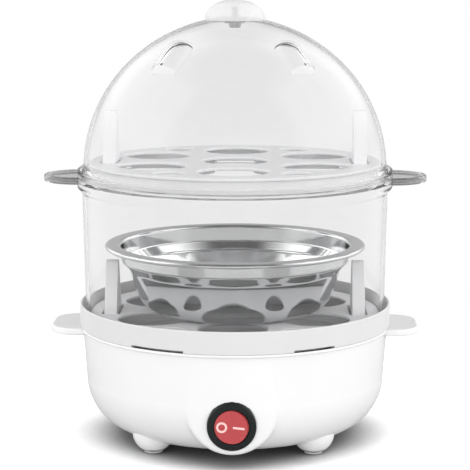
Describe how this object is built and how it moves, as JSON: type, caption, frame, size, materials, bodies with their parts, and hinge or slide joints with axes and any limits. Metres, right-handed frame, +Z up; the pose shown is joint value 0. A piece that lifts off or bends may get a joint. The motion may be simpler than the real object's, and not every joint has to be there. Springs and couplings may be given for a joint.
{
  "type": "egg cooker",
  "caption": "Two-storey electric egg cooker: white base with heating plate and rocker switch, lift-out egg trays and steel steam bowl under a clear tier and domed lid.",
  "frame": {"origin": "on the ground under the middle of the round parts", "axes": "+Z up, -Y towards the side with the switch, +X to the right of someone facing the switch"},
  "size_m": [0.1888, 0.1554, 0.216],
  "materials": {
    "white_plastic": "glossy injection-moulded white",
    "collar_plastic": "satin injection-moulded off-white",
    "tray_plastic": "satin light grey-white polypropylene",
    "knob_plastic": "satin off-white",
    "clear_plastic": "clear, polished",
    "polished_steel": "mirror-polished stainless sheet",
    "plate_steel": "spun satin stainless",
    "foot_rubber": "matt soft rubber",
    "seal_rubber": "matt silicone",
    "screw_steel": "zinc-plated",
    "spring_steel": "cold-rolled",
    "heater_aluminium": "extruded",
    "dark_plastic": "moulded phenolic",
    "fuse_sleeve": "woven glass-fibre sleeve",
    "block_plastic": "moulded nylon",
    "wire_skin": "silicone insulation",
    "receptacle_plastic": "milky nylon sleeve",
    "gland_plastic": "moulded nylon",
    "clamp_plastic": "moulded nylon",
    "bezel_plastic": "satin black nylon",
    "terminal_brass": "stamped",
    "rocker_plastic": "translucent red polycarbonate",
    "mark_ink": "filled marks"
  },
  "bodies": {
    "base": {"base_bowl": "white_plastic", "base_collar": "collar_plastic", "foot_pads": "foot_rubber", "housing_screws": "screw_steel", "heating_plate": "plate_steel", "plate_seal": "seal_rubber", "plate_clips": "spring_steel", "clip_screws": "screw_steel", "heater_block": "heater_aluminium", "heater_clamp": "spring_steel", "clamp_screws": "screw_steel", "thermostat": "dark_plastic", "thermal_fuse": "fuse_sleeve", "terminal_block": "block_plastic", "inner_wires": "wire_skin", "wire_ends": "receptacle_plastic", "cord_gland": "gland_plastic", "cord_clamp": "clamp_plastic", "cord_clamp_screws": "screw_steel", "switch_bezel": "bezel_plastic", "switch_terminals": "terminal_brass"},
    "rocker": {"switch_rocker": "rocker_plastic", "rocker_marks": "mark_ink"},
    "lower_tray_body": {"lower_tray": "tray_plastic"},
    "steam_bowl_body": {"steam_bowl": "polished_steel"},
    "tier_body": {"clear_tier": "clear_plastic"},
    "upper_tray_body": {"upper_tray": "tray_plastic"},
    "lid_body": {"lid_dome": "clear_plastic", "lid_knob": "knob_plastic", "knob_screw": "screw_steel", "knob_washer": "foot_rubber"}
  },
  "joints": [
    {"name": "rocker_tilt", "type": "hinge", "parent": "base", "child": "rocker", "pos_m": [0, -0.0741, 0.02167], "axis": [0, -0.0436, 0.999], "range_deg": [0, 20]},
    {"name": "lower_tray_lift", "type": "slide", "parent": "base", "child": "lower_tray_body", "axis": [0, 0, 1], "range_m": [0, 0.03]},
    {"name": "steam_bowl_lift", "type": "slide", "parent": "lower_tray_body", "child": "steam_bowl_body", "axis": [0, 0, 1], "range_m": [0, 0.04]},
    {"name": "tier_lift", "type": "slide", "parent": "steam_bowl_body", "child": "tier_body", "axis": [0, 0, 1], "range_m": [0, 0.06]},
    {"name": "upper_tray_lift", "type": "slide", "parent": "tier_body", "child": "upper_tray_body", "axis": [0, 0, 1], "range_m": [0, 0.03]},
    {"name": "lid_lift", "type": "slide", "parent": "upper_tray_body", "child": "lid_body", "axis": [0, 0, 1], "range_m": [0, 0.08]}
  ]
}
